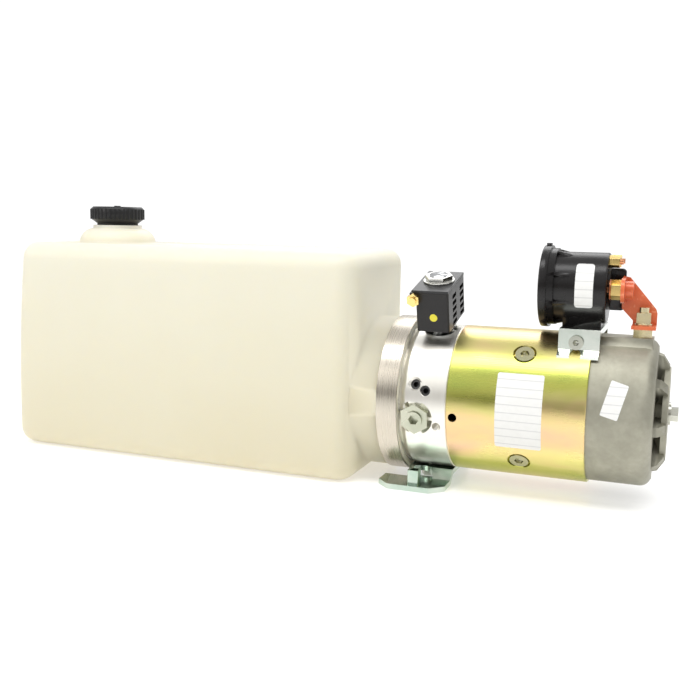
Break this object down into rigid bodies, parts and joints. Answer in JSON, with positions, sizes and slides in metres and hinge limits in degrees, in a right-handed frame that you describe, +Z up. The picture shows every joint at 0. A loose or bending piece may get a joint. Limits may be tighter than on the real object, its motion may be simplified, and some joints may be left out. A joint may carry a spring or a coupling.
{
  "type": "hydraulic power unit",
  "caption": "Horizontal hydraulic power unit: plastic oil tank, gear pump in a round manifold with a solenoid valve, direct-current motor and a start contactor on top.",
  "frame": {"origin": "centre between the two foot bolts, on the plane the foot stands on", "axes": "+X along the shaft from the tank to the motor, +Y to the back, +Z up"},
  "size_m": [0.5594, 0.1392, 0.2135],
  "materials": {
    "tank_plastic": "translucent natural polyethylene",
    "cap_plastic": "fine grained black",
    "seal_rubber": "matt black",
    "band_steel": "brushed stainless",
    "zinc_bolts": "bright zinc plated",
    "manifold_alloy": "machined",
    "plug_zinc": "pale zinc plated",
    "valve_steel": "ground steel",
    "spring_steel": "drawn wire",
    "pump_alloy": "cast and machined",
    "gear_steel": "hardened and ground",
    "strainer_plastic": "white",
    "bearing_steel": "ground",
    "foot_zinc": "bright zinc plated sheet",
    "coil_black": "black moulding",
    "copper_wire": "enamelled copper wire",
    "coil_plate_steel": "black plate",
    "nut_chrome": "bright plated",
    "brass": "turned brass",
    "copper_studs": "coppered",
    "shell_chromate": "yellow chromated zinc",
    "iron": "laminated and cast iron",
    "commutator_copper": "copper",
    "cap_alloy": "as cast",
    "holder_board": "laminate board",
    "carbon": "carbon",
    "contactor_black": "black moulding",
    "bus_copper": "lacquered copper bar",
    "terminal_plate": "plated brass",
    "bracket_zinc": "bright zinc plated sheet",
    "label_film": "white film"
  },
  "bodies": {
    "unit": {"tank_shell": "tank_plastic", "tank_seal": "seal_rubber", "shaft_seal": "seal_rubber", "clamp_band": "band_steel", "clamp_bolt": "zinc_bolts", "foot_screws": "zinc_bolts", "pole_screws": "zinc_bolts", "through_bolts": "zinc_bolts", "end_bolt": "zinc_bolts", "bracket_screws": "zinc_bolts", "pump_screws": "zinc_bolts", "set_screws": "zinc_bolts", "manifold": "manifold_alloy", "port_plug": "plug_zinc", "valve_cartridge": "valve_steel", "check_spring": "spring_steel", "relief_spring": "spring_steel", "valve_spring": "spring_steel", "contactor_spring": "spring_steel", "pump_body": "pump_alloy", "pump_cover": "pump_alloy", "pump_bushes": "pump_alloy", "suction_strainer": "strainer_plastic", "bearings": "bearing_steel", "foot_bracket": "foot_zinc", "coil_housing": "coil_black", "coil_winding": "copper_wire", "field_coils": "copper_wire", "contactor_coil": "copper_wire", "coil_top_plate": "coil_plate_steel", "coil_nut": "nut_chrome", "coil_terminal": "brass", "contactor_nuts": "brass", "contactor_studs": "copper_studs", "motor_shell": "shell_chromate", "pole_shoes": "iron", "rear_cap": "cap_alloy", "brush_holder": "holder_board", "brushes": "carbon", "contactor_case": "contactor_black", "contactor_cover": "contactor_black", "terminal_insulator": "contactor_black", "bus_bar": "bus_copper", "motor_terminal": "terminal_plate", "terminal_nut": "terminal_plate", "contactor_bracket": "bracket_zinc", "contactor_saddle": "bracket_zinc", "labels": "label_film"},
    "rotor": {"motor_shaft": "gear_steel", "armature": "iron", "commutator": "commutator_copper", "shaft_coupling": "gear_steel", "drive_gear": "gear_steel"},
    "pump_wheel": {"driven_gear": "gear_steel"},
    "tank_cap": {"filler_cap": "cap_plastic", "cap_gasket": "seal_rubber"},
    "valve_core": {"valve_plunger": "valve_steel"},
    "contact": {"contactor_plunger": "valve_steel"},
    "relief": {"relief_poppet": "valve_steel"},
    "check": {"check_poppet": "valve_steel"}
  },
  "joints": [
    {"name": "shaft_spin", "type": "hinge", "parent": "unit", "child": "rotor", "pos_m": [0, 0, 0.066], "axis": [1, 0, 0], "continuous": true},
    {"name": "pump_spin", "type": "hinge", "parent": "unit", "child": "pump_wheel", "pos_m": [-0.044, 0, 0.04], "axis": [1, 0, 0], "continuous": true},
    {"name": "cap_lift", "type": "slide", "parent": "unit", "child": "tank_cap", "axis": [0, 0, 1], "range_m": [0, 0.06]},
    {"name": "valve_shift", "type": "slide", "parent": "unit", "child": "valve_core", "axis": [0, -0.2588, 0.9659], "range_m": [0, 0.003], "stiffness_N_per_m": 1500, "springref_m": -0.004, "deforming": ["valve_spring"]},
    {"name": "contact_shift", "type": "slide", "parent": "unit", "child": "contact", "axis": [1, 0, 0], "range_m": [0, 0.0024], "stiffness_N_per_m": 2000, "springref_m": -0.003, "deforming": ["contactor_spring"]},
    {"name": "relief_lift", "type": "slide", "parent": "unit", "child": "relief", "axis": [0, -0.977, 0.213], "range_m": [0, 0.002], "stiffness_N_per_m": 8000, "springref_m": -0.003, "deforming": ["relief_spring"]},
    {"name": "check_lift", "type": "slide", "parent": "unit", "child": "check", "axis": [0, -0.9863, -0.165], "range_m": [0, 0.003], "stiffness_N_per_m": 800, "springref_m": -0.004, "deforming": ["check_spring"]}
  ],
  "couplings": [
    {"joint": "pump_spin", "follows": "shaft_spin", "ratio": -1}
  ]
}
